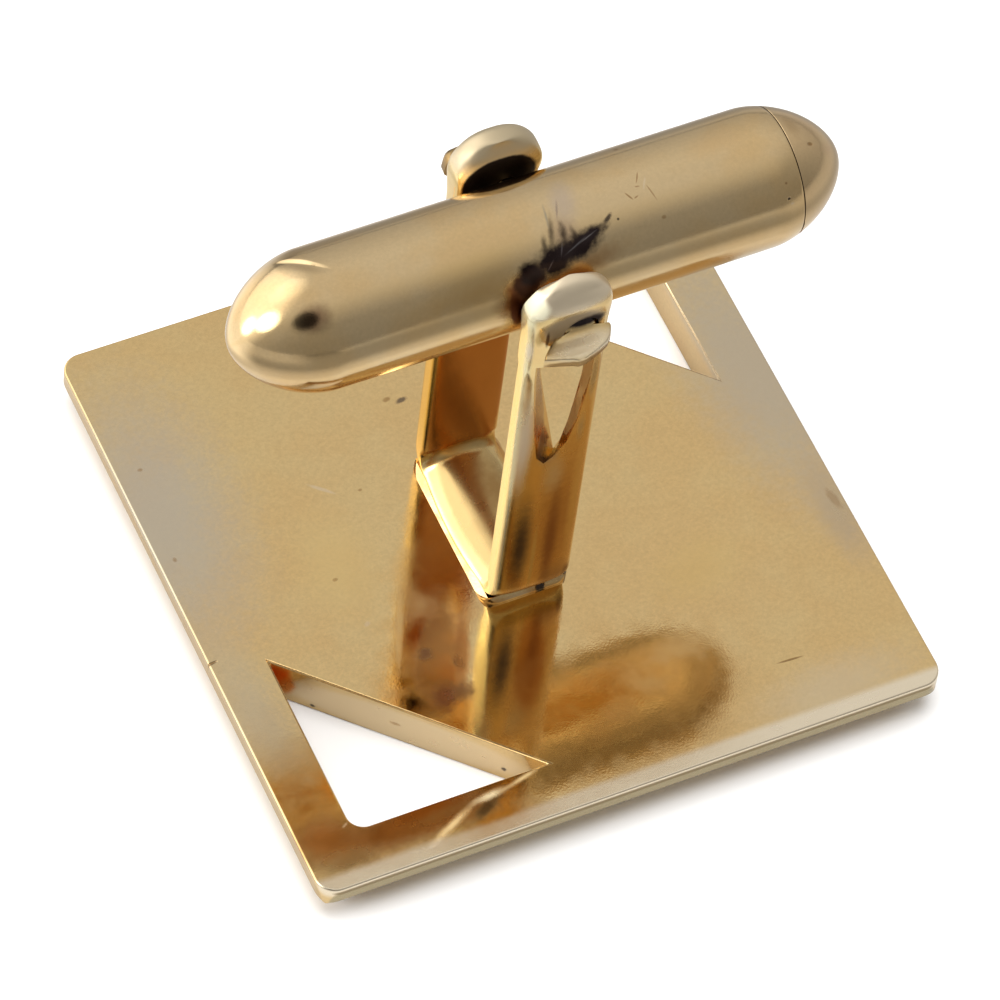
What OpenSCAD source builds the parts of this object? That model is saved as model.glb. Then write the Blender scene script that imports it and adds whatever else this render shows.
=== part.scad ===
// Square pierced cufflink with a torpedo toggle, lying on its front face, toggle closed.
// The origin is the centre of the front face. Z runs up out of the back of the plate,
// X runs along the closed toggle and Y along the pivot pin. Lengths are in millimetres.

/* [Face plate] */
// Side of the square plate
plate_w = 19; // [17:0.5:22]
// Thickness of the plate
plate_t = 1.6; // [1.2:0.1:2]
// Radius of the plate's four corners
plate_corner_r = 0.6; // [0.3:0.1:1.2]
// Height of the upright rim between the back and the front bevel
rim_h = 0.6; // [0.4:0.1:0.9]
// Width of the front bevel, seen from the front
bevel_w = 0.9; // [0.5:0.1:1.2]
// Short side of each pierced triangle
pierce_leg = 5.85; // [4.5:0.05:6.2]
// Frame left between a pierced triangle and the edges of the plate
pierce_margin = 1.6; // [1.3:0.1:2]
// Radius in the square corner of each pierced triangle
pierce_corner_r = 0.5; // [0.2:0.1:1]

/* [Post] */
// Width of the folded strip, along the toggle
strip_w = 2.35; // [2:0.05:3]
// Shift of the strip along the toggle, off the middle of the plate and of the pin
post_shift = -0.25; // [-0.4:0.05:0.4]
// Thickness of the folded strip
strip_t = 0.75; // [0.6:0.05:0.9]
// Inside radius of the two folds
fold_r = 0.3; // [0.2:0.05:0.8]
// Height of the pivot above the back of the plate
pivot_h = 13; // [12.5:0.25:15]
// Height of the rounded ears above the pivot
ear_rise = 1.9; // [1.5:0.05:2]
// Depth of the ears below the pivot, down to where the legs thin out
ear_drop = 1.3; // [1.1:0.1:1.8]
// Extra thickness of the ears on their inner side
ear_pad_t = 0.11; // [0.05:0.01:0.2]
// Height of the ramp from the legs out to the thicker ears
ear_ramp_h = 0.22; // [0.1:0.02:0.4]
// Radius of the round-over along the outer top edge of the ears
ear_round_r = 0.55; // [0.3:0.05:0.6]
// Gap between each ear and the toggle
ear_play = 0.09; // [0.05:0.01:0.2]
// Width of the V window at its top
window_w = 1.6; // [0.8:0.1:1.7]
// Height of the V window
window_h = 4.6; // [3:0.1:6]
// Distance from the pivot down to the top of the V window
window_drop = 1.2; // [1:0.1:2]
// Reach of the solder along the plate past the flat of the fold
solder_reach = 0.8; // [0.5:0.05:1]
// Height of the solder fillet beside the strip
solder_h = 0.18; // [0.12:0.01:0.3]
// Height of the solder at its outer edge, under the folds
solder_toe_h = 0.07; // [0.04:0.01:0.12]
// Radius of the solder's four corners, seen from above
solder_corner_r = 0.5; // [0.3:0.05:0.7]
// Gap between the solder and the curve of the fold
solder_film = 0.01; // [0.005:0.005:0.02]

/* [Pivot pin] */
// Diameter of the wire
pin_d = 0.95; // [0.8:0.05:1.2]
// Width across the flats of the squared middle
pin_flats = 0.74; // [0.6:0.01:0.75]
// Length of the squared middle
pin_flats_len = 2.2; // [1.6:0.1:2.6]
// Gap around the wire in the barrel
pin_play = 0.04; // [0.02:0.01:0.08]
// Gap around the wire in the ears
ear_hole_play = 0.06; // [0.03:0.01:0.1]
// Thickness of the squashed ends
paddle_t = 0.35; // [0.25:0.05:0.4]
// Width of the squashed ends where they leave the ears
paddle_w = 1.5; // [1.2:0.1:1.8]
// Reach of the squashed ends past the ears
paddle_reach = 0.8; // [0.6:0.05:1.3]
// Drop of the squashed ends' middle below the axis of the wire
paddle_drop = 0.25; // [0:0.05:0.25]
// Turn of the far squashed end about the wire, in degrees
far_paddle_turn = 30; // [0:5:60]
// Depth at which the squashing starts inside the ear
paddle_root = 0.3; // [0.1:0.05:0.5]

/* [Toggle] */
// Diameter of the barrel
barrel_d = 3.9; // [3.6:0.1:4.4]
// Length of the toggle over both tips
toggle_len = 17.8; // [16:0.2:20]
// Length of the tapered end on each side
ogive_len = 2.5; // [2:0.1:3]
// Fullness of the tapered ends: 2 is an ellipse, less is more pointed
ogive_power = 1.75; // [1.5:0.05:2.2]
// Wall of the barrel
barrel_wall = 0.32; // [0.25:0.01:0.45]
// Wall at the closed tip
dome_t = 0.5; // [0.3:0.05:0.8]
// Length of the nose cap that shows
cap_len = 1.8; // [1.2:0.1:1.9]
// Wall of the barrel at its mouth, around the cap's spigot
mouth_wall = 0.36; // [0.3:0.01:0.45]
// Length of the cap's spigot
spigot_len = 1.1; // [0.6:0.1:1.3]
// Gap around the spigot
spigot_play = 0.02; // [0.01:0.01:0.05]

/* [Spring] */
// Thickness of the spring strip
spring_t = 0.12; // [0.08:0.01:0.16]
// Width of the spring strip
spring_w = 1.2; // [0.8:0.1:1.6]
// Distance kept between the leaves and the tapered ends
spring_end_gap = 1.2; // [1.1:0.1:2]
// Gap between the spring and what it bears on
spring_play = 0.02; // [0.01:0.01:0.05]

/* [Hidden] */
$fn = 64;
// Overrun of every cut
cut = 1;
// Outlines of the two squashed ends, as shares of their root width and their reach
near_paddle_shares = [[0.58, 0], [0.56, 0.3], [0.45, 0.44], [0.21, 0.65], [-0.04, 0.9],
                      [-0.18, 1], [-0.51, 0.84], [-0.84, 0.64], [-0.85, 0.46],
                      [-0.66, 0.25], [-0.53, 0]];
far_paddle_shares = [[0.47, 0], [0.4, 0.6], [0.1, 0.92], [-0.5, 1], [-0.9, 0.8],
                     [-0.96, 0.5], [-0.86, 0.2], [-0.5, 0]];
// Outline of one side of the V window, as shares of its width and its height
window_shares = [[0, 0], [0.14, 0.08], [0.26, 0.22], [0.36, 0.4], [0.43, 0.6],
                 [0.48, 0.82], [0.5, 1]];
// Steps along each curved profile, and along the short taper behind the nose cap
ogive_steps = 14;
taper_steps = 4;

barrel_r = barrel_d / 2;
bore_r = barrel_r - barrel_wall;
pin_r = pin_d / 2;
ear_in = barrel_r + ear_play;
leg_in = ear_in + ear_pad_t;
leg_out = leg_in + strip_t;
fold_out_r = fold_r + strip_t;
fold_y = leg_out - fold_out_r;
pivot_z = plate_t + pivot_h;
post_top = pivot_h + ear_rise;
bevel_h = plate_t - rim_h;
straight_half = toggle_len / 2 - ogive_len;
seam_x = toggle_len / 2 - cap_len;
seam_share = (ogive_len - cap_len) / ogive_len;
mouth_r = ogive_r(barrel_r, seam_share) - mouth_wall;
leaf_half = straight_half - spring_end_gap;
leaf_low = pin_flats / 2 + spring_play;
leaf_high = sqrt(bore_r ^ 2 - (spring_w / 2) ^ 2) - spring_play;
leaf_bow_r = (leaf_half ^ 2 + (leaf_high - leaf_low) ^ 2 - spring_t ^ 2)
             / (2 * (leaf_high - leaf_low - spring_t));

// Radius of a tapered end at a share of its length, for a barrel of radius r
function ogive_r(r, share) = r * (1 - share ^ ogive_power) ^ (1 / ogive_power);

// Shares along a tapered end from a first share to the tip, closer together near the tip
function tip_shares(first) =
    [for (i = [0 : ogive_steps]) 1 - (1 - first) * (1 - i / ogive_steps) ^ 2];

// Rectangle of width w and length l with round corners
module round_oblong(w, l, r) {
    square([w, l - 2 * r], center = true);
    square([w - 2 * r, l], center = true);
    for (x = [-1, 1], y = [-1, 1])
        translate([x * (w / 2 - r), y * (l / 2 - r)]) circle(r);
}

// Cross-section of the plate: upright rim at the back, bevel down to the front face
module plate_section() {
    polygon([[-plate_w / 2, plate_t], [-plate_w / 2, bevel_h],
             [bevel_w - plate_w / 2, 0], [plate_w / 2 - bevel_w, 0],
             [plate_w / 2, bevel_h], [plate_w / 2, plate_t]]);
}

// Right-angled triangle with its square corner rounded, both short sides on the axes
module pierced_triangle() {
    polygon([[pierce_corner_r, 0], [pierce_leg, 0], [0, pierce_leg], [0, pierce_corner_r]]);
    translate([pierce_corner_r, pierce_corner_r]) circle(pierce_corner_r);
}

module face_plate() {
    color("#bfa36c")
    difference() {
        intersection() {
            linear_extrude(plate_t) round_oblong(plate_w, plate_w, plate_corner_r);
            rotate([90, 0, 0]) linear_extrude(plate_w + cut, center = true) plate_section();
            rotate([90, 0, 90]) linear_extrude(plate_w + cut, center = true) plate_section();
        }
        for (turn = [0, 180])
            rotate(turn)
                translate([pierce_margin - plate_w / 2, pierce_margin - plate_w / 2, -cut])
                    linear_extrude(plate_t + 2 * cut) pierced_triangle();
    }
}

// Outline of a folded strip from the side: half width, radius of the folds, height
module fold_outline(half, r, h) {
    translate([-half, r]) square([2 * half, h - r]);
    translate([r - half, 0]) square([2 * (half - r), h - r]);
    for (side = [-1, 1])
        translate([side * (half - r), r]) circle(r);
}

// What is taken off the outer top corner of an ear, seen from the side
module ear_round_over() {
    difference() {
        square(ear_round_r + cut);
        circle(ear_round_r);
    }
}

// Side view of the folded strip, with the thicker ears at its top
module bracket_side() {
    ear_base = pivot_h - ear_drop;
    leg_top = ear_base - ear_ramp_h;
    difference() {
        fold_outline(leg_out, fold_out_r, post_top);
        for (side = [0, 1])
            mirror([side, 0])
                translate([leg_out - ear_round_r, post_top - ear_round_r]) ear_round_over();
        translate([0, strip_t]) fold_outline(leg_in, fold_r, leg_top - strip_t);
        polygon([[-leg_in, leg_top], [-ear_in, ear_base], [-ear_in, post_top + cut],
                 [ear_in, post_top + cut], [ear_in, ear_base], [leg_in, leg_top]]);
    }
}

// V window with bowed sides, its point at the origin
module window() {
    top = len(window_shares) - 1;
    polygon(concat([for (p = window_shares) [p[0] * window_w, p[1] * window_h]],
                   [for (i = [top : -1 : 1])
                       [-window_shares[i][0] * window_w, window_shares[i][1] * window_h]]));
}

// Front view of a leg: straight sides and a round top, less the V window
module bracket_front() {
    difference() {
        union() {
            translate([-strip_w / 2, 0]) square([strip_w, post_top - strip_w / 2]);
            translate([0, post_top - strip_w / 2]) circle(strip_w / 2);
        }
        translate([0, pivot_h - window_drop - window_h]) window();
    }
}

module post_bracket() {
    color("#c8a868")
    translate([post_shift, 0, plate_t])
    difference() {
        intersection() {
            rotate([90, 0, 90]) linear_extrude(strip_w, center = true) bracket_side();
            rotate([90, 0, 0]) linear_extrude(2 * leg_out + cut, center = true) bracket_front();
        }
        translate([-post_shift, 0, pivot_h]) rotate([90, 0, 0])
            cylinder(r = pin_r + ear_hole_play, h = 2 * leg_out + cut, center = true);
    }
}

// Solder in the notch under one fold, seen from the side
module solder_notch() {
    difference() {
        translate([fold_y, 0])
            polygon([[solder_h, 0], [solder_reach, 0], [solder_reach, solder_toe_h],
                     [solder_h, fold_out_r]]);
        translate([fold_y, fold_out_r]) circle(fold_out_r + solder_film);
    }
}

module solder_seam() {
    seam_w = strip_w + 2 * solder_h;
    seam_l = 2 * (fold_y + solder_reach);
    color("#b98f4a")
    translate([post_shift, 0, plate_t])
    intersection() {
        linear_extrude(fold_out_r) round_oblong(seam_w, seam_l, solder_corner_r);
        for (side = [0, 1]) {
            mirror([0, side, 0])
                rotate([90, 0, 90]) linear_extrude(seam_w, center = true) solder_notch();
            mirror([side, 0, 0])
                translate([strip_w / 2, 0, 0])
                    rotate([90, 0, 0])
                        linear_extrude(seam_l - 2 * solder_h, center = true)
                            polygon([[0, 0], [solder_h, 0], [0, solder_h]]);
        }
    }
}

// One squashed end of the wire, reaching out along Y from inside the ear
module paddle(shares) {
    root_y = leg_out - 2 * paddle_root;
    root_l = 2 * paddle_root + paddle_reach / 2;
    translate([0, leg_out, -paddle_drop - paddle_t / 2])
        linear_extrude(paddle_t)
            polygon([for (p = shares) [p[0] * paddle_w, p[1] * paddle_reach]]);
    intersection() {
        translate([0, root_y, 0]) rotate([-90, 0, 0]) cylinder(r = pin_r, h = root_l);
        translate([-pin_r, root_y, -paddle_drop - paddle_t / 2])
            cube([pin_d, root_l, paddle_t]);
    }
}

module pivot_pin() {
    round_len = 2 * (leg_out - paddle_root);
    color("#a89878")
    translate([0, 0, pivot_z]) {
        difference() {
            rotate([90, 0, 0]) cylinder(r = pin_r, h = round_len, center = true);
            for (turn = [0 : 90 : 270])
                rotate([0, turn, 0])
                    translate([-pin_r, -pin_flats_len / 2, pin_flats / 2])
                        cube([pin_d, pin_flats_len, pin_r]);
        }
        mirror([0, 1, 0]) paddle(near_paddle_shares);
        rotate([0, far_paddle_turn, 0]) paddle(far_paddle_shares);
    }
}

// Turns a half profile of [radius, place along X] points into a body around the X axis
module turned(points) {
    rotate([0, 90, 0]) rotate_extrude() polygon(points);
}

module torpedo_shell() {
    inner_ogive = ogive_len - dome_t;
    dome = [for (s = tip_shares(0)) [ogive_r(barrel_r, s), -straight_half - ogive_len * s]];
    taper = [for (i = [0 : taper_steps]) let (s = seam_share * i / taper_steps)
                 [ogive_r(barrel_r, s), straight_half + ogive_len * s]];
    hollow = [for (s = tip_shares(0)) [ogive_r(bore_r, s), -straight_half - inner_ogive * s]];
    step_x = seam_x - spigot_len - spigot_play;
    color("#c0a878")
    translate([0, 0, pivot_z])
    difference() {
        turned(concat([for (i = [ogive_steps : -1 : 0]) dome[i]], taper,
                      [[mouth_r, seam_x], [mouth_r, step_x], [bore_r, step_x]], hollow));
        rotate([90, 0, 0]) cylinder(r = pin_r + pin_play, h = barrel_d + cut, center = true);
    }
}

module nose_cap() {
    nose = [for (s = tip_shares(seam_share)) [ogive_r(barrel_r, s), straight_half + ogive_len * s]];
    color("#b7a07a")
    translate([0, 0, pivot_z])
        turned(concat([[0, seam_x - spigot_len], [mouth_r - spigot_play, seam_x - spigot_len],
                       [mouth_r - spigot_play, seam_x]], nose));
}

// Side view of one bowed leaf, touching the pin at its middle and the barrel at its ends
module leaf_side() {
    intersection() {
        translate([0, leaf_low + leaf_bow_r])
            difference() {
                circle(leaf_bow_r);
                circle(leaf_bow_r - spring_t);
            }
        translate([-leaf_half, 0]) square([2 * leaf_half, leaf_high]);
    }
}

module detent_spring() {
    color("#8f8f92")
    translate([0, 0, pivot_z])
        rotate([90, 0, 0])
            linear_extrude(spring_w, center = true) {
                for (side = [0, 1])
                    mirror([0, side]) leaf_side();
                translate([-leaf_half, 0])
                    difference() {
                        circle(leaf_high);
                        circle(leaf_high - spring_t);
                        translate([0, -leaf_high - cut]) square(2 * (leaf_high + cut));
                    }
            }
}

face_plate();
post_bracket();
solder_seam();
pivot_pin();
torpedo_shell();
nose_cap();
detent_spring();
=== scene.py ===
"""Square pierced cufflink with a torpedo toggle, lying on its front face on white paper."""
from math import atan2, copysign, cos, hypot, pi, radians, sin, sqrt

import bmesh
import bpy
from mathutils import Matrix, Vector


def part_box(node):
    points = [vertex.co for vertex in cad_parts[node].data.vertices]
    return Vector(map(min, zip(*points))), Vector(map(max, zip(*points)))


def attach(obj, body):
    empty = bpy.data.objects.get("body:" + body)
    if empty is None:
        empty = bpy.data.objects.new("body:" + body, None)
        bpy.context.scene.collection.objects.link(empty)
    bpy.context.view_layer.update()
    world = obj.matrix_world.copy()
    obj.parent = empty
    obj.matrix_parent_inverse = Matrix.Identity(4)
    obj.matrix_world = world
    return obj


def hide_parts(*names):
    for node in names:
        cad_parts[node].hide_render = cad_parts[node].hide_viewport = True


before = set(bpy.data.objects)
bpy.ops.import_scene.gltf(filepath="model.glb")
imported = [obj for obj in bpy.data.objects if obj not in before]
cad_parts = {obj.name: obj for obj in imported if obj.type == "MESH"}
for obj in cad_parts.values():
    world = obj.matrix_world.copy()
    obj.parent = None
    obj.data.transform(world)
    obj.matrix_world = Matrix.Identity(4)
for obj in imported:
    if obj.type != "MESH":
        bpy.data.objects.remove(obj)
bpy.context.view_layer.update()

# Face plate
# A square stamped from 1.6 mm gilt brass sheet, with two triangles pierced through it and its
# edges tumbled round. It lies on its front face; the foot of the post is soldered to its back.
MM = 0.001
PLATE_BACK = 1.6
GILT = (0.81, 0.585, 0.275)
WARM_GILT = (0.80, 0.49, 0.19)
# Pale gilt, the brown and the near-black below also serve as painted highlights and shade
PALE_GILT_AND_HIGHLIGHT = (0.85, 0.66, 0.42)
ORANGE_TARNISH = (0.52, 0.20, 0.035)
PALER_GILT = (0.80, 0.64, 0.42)
# Painted reflections, bright and barely metallic
PAINTED_GLINT = (1.0, 0.84, 0.52)
BROWN_TARNISH_AND_SHADE = (0.34, 0.17, 0.05)
GRIME_AND_SHADE = (0.028, 0.018, 0.018)
ACROSS = 60


def shader_node(tree, kind, inputs=None, **settings):
    """Adds a shader node; each input is a plain value or another node's output."""
    new = tree.nodes.new("ShaderNode" + kind)
    for name, value in settings.items():
        setattr(new, name, value)
    for key, value in (inputs or {}).items():
        if isinstance(value, bpy.types.NodeSocket):
            tree.links.new(value, new.inputs[key])
        else:
            new.inputs[key].default_value = value
    return new


def maths(tree, operation, *values):
    """The result of one sum on plain numbers."""
    return shader_node(tree, "Math", dict(enumerate(values)), operation=operation).outputs[0]


def vector_maths(tree, operation, *values):
    """A node that works on vectors."""
    return shader_node(tree, "VectorMath", dict(enumerate(values)), operation=operation)


def laid_over(tree, share, under, over, blend_type="MIX"):
    """One colour over another, by a share."""
    mix = shader_node(tree, "Mix", {0: share, 6: under, 7: over},
                      data_type="RGBA", blend_type=blend_type)
    return mix.outputs[2]


def rescaled(tree, value, low, high, to_low=0.0, to_high=1.0):
    """Takes low..high smoothly to to_low..to_high, and holds still outside."""
    return shader_node(tree, "MapRange", {0: value, 1: low, 2: high, 3: to_low, 4: to_high},
                       interpolation_type="SMOOTHSTEP").outputs[0]


def scaled(tree, vector, factor):
    """A vector times a number."""
    return shader_node(tree, "VectorMath", {0: vector, "Scale": factor},
                       operation="SCALE").outputs[0]


def shader_group(name, inputs, output, output_kind):
    """An empty node group; inputs is a list of (name, kind)."""
    tree = bpy.data.node_groups.new(name, "ShaderNodeTree")
    for label, kind in inputs:
        tree.interface.new_socket(name=label, in_out="INPUT", socket_type="NodeSocket" + kind)
    tree.interface.new_socket(name=output, in_out="OUTPUT",
                              socket_type="NodeSocket" + output_kind)
    return (tree, tree.nodes.new("NodeGroupInput").outputs,
            tree.nodes.new("NodeGroupOutput").inputs)


# Cloudy tarnish: clean gilding with warmer clouds and a fine mottle, sizes in millimetres
cloudy_tarnish, given, result = shader_group("cloudy_tarnish", [
    ("Vector", "Vector"), ("Clean", "Color"), ("Warm", "Color"), ("Cloud Size", "Float"),
    ("Warmth", "Float"), ("Mottle", "Float")], "Color", "Color")
tree = cloudy_tarnish
clouds = shader_node(tree, "TexNoise", {
    "Vector": given["Vector"], "Scale": maths(tree, "DIVIDE", 1.0, given["Cloud Size"]),
    "Detail": 3.0, "Roughness": 0.55}).outputs["Fac"]
clouds = maths(tree, "MULTIPLY", rescaled(tree, clouds, 0.38, 0.66), given["Warmth"])
fine = shader_node(tree, "TexNoise", {"Vector": given["Vector"], "Scale": 9.0, "Detail": 3.0,
                                      "Roughness": 0.7}).outputs["Fac"]
fine = maths(tree, "MULTIPLY_ADD", maths(tree, "SUBTRACT", fine, 0.5), given["Mottle"], 1.0)
colour = laid_over(tree, clouds, given["Clean"], given["Warm"])
tree.links.new(laid_over(tree, 1.0, colour, fine, "MULTIPLY"), result["Color"])

# Fine grain: height of a satin surface, in millimetres
fine_grain, given, result = shader_group("fine_grain", [
    ("Vector", "Vector"), ("Grain Size", "Float"), ("Depth", "Float")], "Height", "Float")
tree = fine_grain
grain = shader_node(tree, "TexNoise", {
    "Vector": given["Vector"], "Scale": maths(tree, "DIVIDE", 1.0, given["Grain Size"]),
    "Detail": 2.0, "Roughness": 0.6}).outputs["Fac"]
tree.links.new(maths(tree, "MULTIPLY", grain, given["Depth"]), result["Height"])

# Mark shape: 1 inside one turned, ragged oval spot, scratch, stain or patch of painted light or
# shade, 0 outside it
mark_shape, given, result = shader_group("mark_shape", [
    ("Vector", "Vector"), ("Centre", "Vector"), ("Half Size", "Vector"), ("Turn", "Float"),
    ("Ragged", "Float"), ("Softness", "Float")], "Mask", "Float")
tree = mark_shape
place = vector_maths(tree, "SUBTRACT", given["Vector"], given["Centre"]).outputs[0]
place = shader_node(tree, "VectorRotate", {"Vector": place, "Angle": given["Turn"]},
                    rotation_type="Z_AXIS").outputs[0]
place = vector_maths(tree, "DIVIDE", place, given["Half Size"]).outputs[0]
ragged = shader_node(tree, "TexNoise", {"Vector": given["Vector"], "Scale": 4.5, "Detail": 4.0,
                                        "Roughness": 0.65}).outputs["Color"]
ragged = vector_maths(tree, "SUBTRACT", ragged, (0.5, 0.5, 0.5)).outputs[0]
place = vector_maths(tree, "ADD", place, scaled(tree, ragged, given["Ragged"])).outputs[0]
reach = vector_maths(tree, "LENGTH", place).outputs["Value"]
inner = maths(tree, "SUBTRACT", 1.0, given["Softness"])
tree.links.new(rescaled(tree, reach, inner, 1.0, 1.0, 0.0), result["Mask"])


def mark(at, half, tone, share=0.8, turn=0.0, ragged=0.4, soft=0.6, dull=0.1, bare=0.0,
         depth=0.0):
    """A spot, scratch or stain, or a patch of painted light or shade: place and half size in mm,
    colour, and how rough, non-metallic and deep it is. Three numbers place it in space, two on
    the back of the plate. A half size of ACROSS makes it a band across the whole piece. Later
    marks lie over earlier ones."""
    if len(at) == 2:
        at = (*at, PLATE_BACK)
    if len(half) == 2:
        half = (*half, 0.5)
    return dict(at=at, half=half, tone=tone, share=share, turn=turn, ragged=ragged, soft=soft,
                dull=dull, bare=bare, depth=depth)


def gilt_metal(name, clean, warm, cloud_size, warmth, mottle, roughness, grain, marks=(),
               unroll=None, wave=(1.4, 0.004)):
    """Worn gilding: clouds of tarnish, satin grain, a slight waviness and its own marks, all in
    millimetres. grain and wave are (size, depth), and roughness is its range. unroll is a group
    that lays the surface flat before the marks are placed."""
    material = bpy.data.materials.new(name)
    material.use_nodes = True
    tree = material.node_tree
    shader = tree.nodes["Principled BSDF"]
    shader.inputs["Metallic"].default_value = 1.0
    space = scaled(tree, shader_node(tree, "TexCoord").outputs["Object"], 1 / MM)
    laid = space
    if unroll:
        laid = shader_node(tree, "Group", {"Vector": space}, node_tree=unroll).outputs["Flat"]
    colour = shader_node(tree, "Group", {
        "Vector": space, "Clean": (*clean, 1), "Warm": (*warm, 1), "Cloud Size": cloud_size,
        "Warmth": warmth, "Mottle": mottle}, node_tree=cloudy_tarnish).outputs["Color"]
    satin, wavy = (shader_node(tree, "Group", {
        "Vector": space, "Grain Size": size, "Depth": depth}, node_tree=fine_grain)
        for size, depth in (grain, wave))
    height = maths(tree, "ADD", satin.outputs["Height"], wavy.outputs["Height"])
    swing = shader_node(tree, "TexNoise", {"Vector": space, "Scale": 1.3, "Detail": 3.0})
    dull = rescaled(tree, swing.outputs["Fac"], 0.3, 0.7, roughness[0], roughness[1])
    bare = None
    for spot in marks:
        mask = shader_node(tree, "Group", {
            "Vector": laid, "Centre": spot["at"], "Half Size": spot["half"],
            "Turn": radians(-spot["turn"]), "Ragged": spot["ragged"], "Softness": spot["soft"]},
            node_tree=mark_shape).outputs["Mask"]
        colour = laid_over(tree, maths(tree, "MULTIPLY", mask, spot["share"]), colour,
                           (*spot["tone"], 1))
        if spot["dull"]:
            dull = maths(tree, "MULTIPLY_ADD", mask, spot["dull"], dull)
        if spot["bare"]:
            bare = maths(tree, "MULTIPLY_ADD", mask, -spot["bare"], bare if bare else 1.0)
        if spot["depth"]:
            height = maths(tree, "MULTIPLY_ADD", mask, -spot["depth"], height)
    if bare:
        tree.links.new(maths(tree, "MAXIMUM", bare, 0.0), shader.inputs["Metallic"])
    tree.links.new(colour, shader.inputs["Base Color"])
    tree.links.new(dull, shader.inputs["Roughness"])
    bump = shader_node(tree, "Bump", {"Strength": 1.0, "Distance": MM, "Height": height})
    tree.links.new(bump.outputs["Normal"], shader.inputs["Normal"])
    return material


def tumbled(node, material, radius, segments):
    """A CAD node with its sharp edges rounded over by a radius in mm, and its own finish."""
    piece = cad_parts[node]
    piece.data.materials.clear()
    piece.data.materials.append(material)
    weld = piece.modifiers.new("merged", "WELD")
    weld.merge_threshold = 0.002 * MM
    flat = piece.modifiers.new("flat_faces", "DECIMATE")
    flat.decimate_type = "DISSOLVE"
    flat.angle_limit = radians(0.8)
    bevel = piece.modifiers.new("tumbled_edges", "BEVEL")
    bevel.width = radius * MM
    bevel.segments = segments
    bevel.limit_method = "ANGLE"
    bevel.angle_limit = radians(26)
    for face in piece.data.polygons:
        face.use_smooth = True
    normals = piece.modifiers.new("even_shading", "WEIGHTED_NORMAL")
    normals.keep_sharp = True
    return piece


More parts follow.
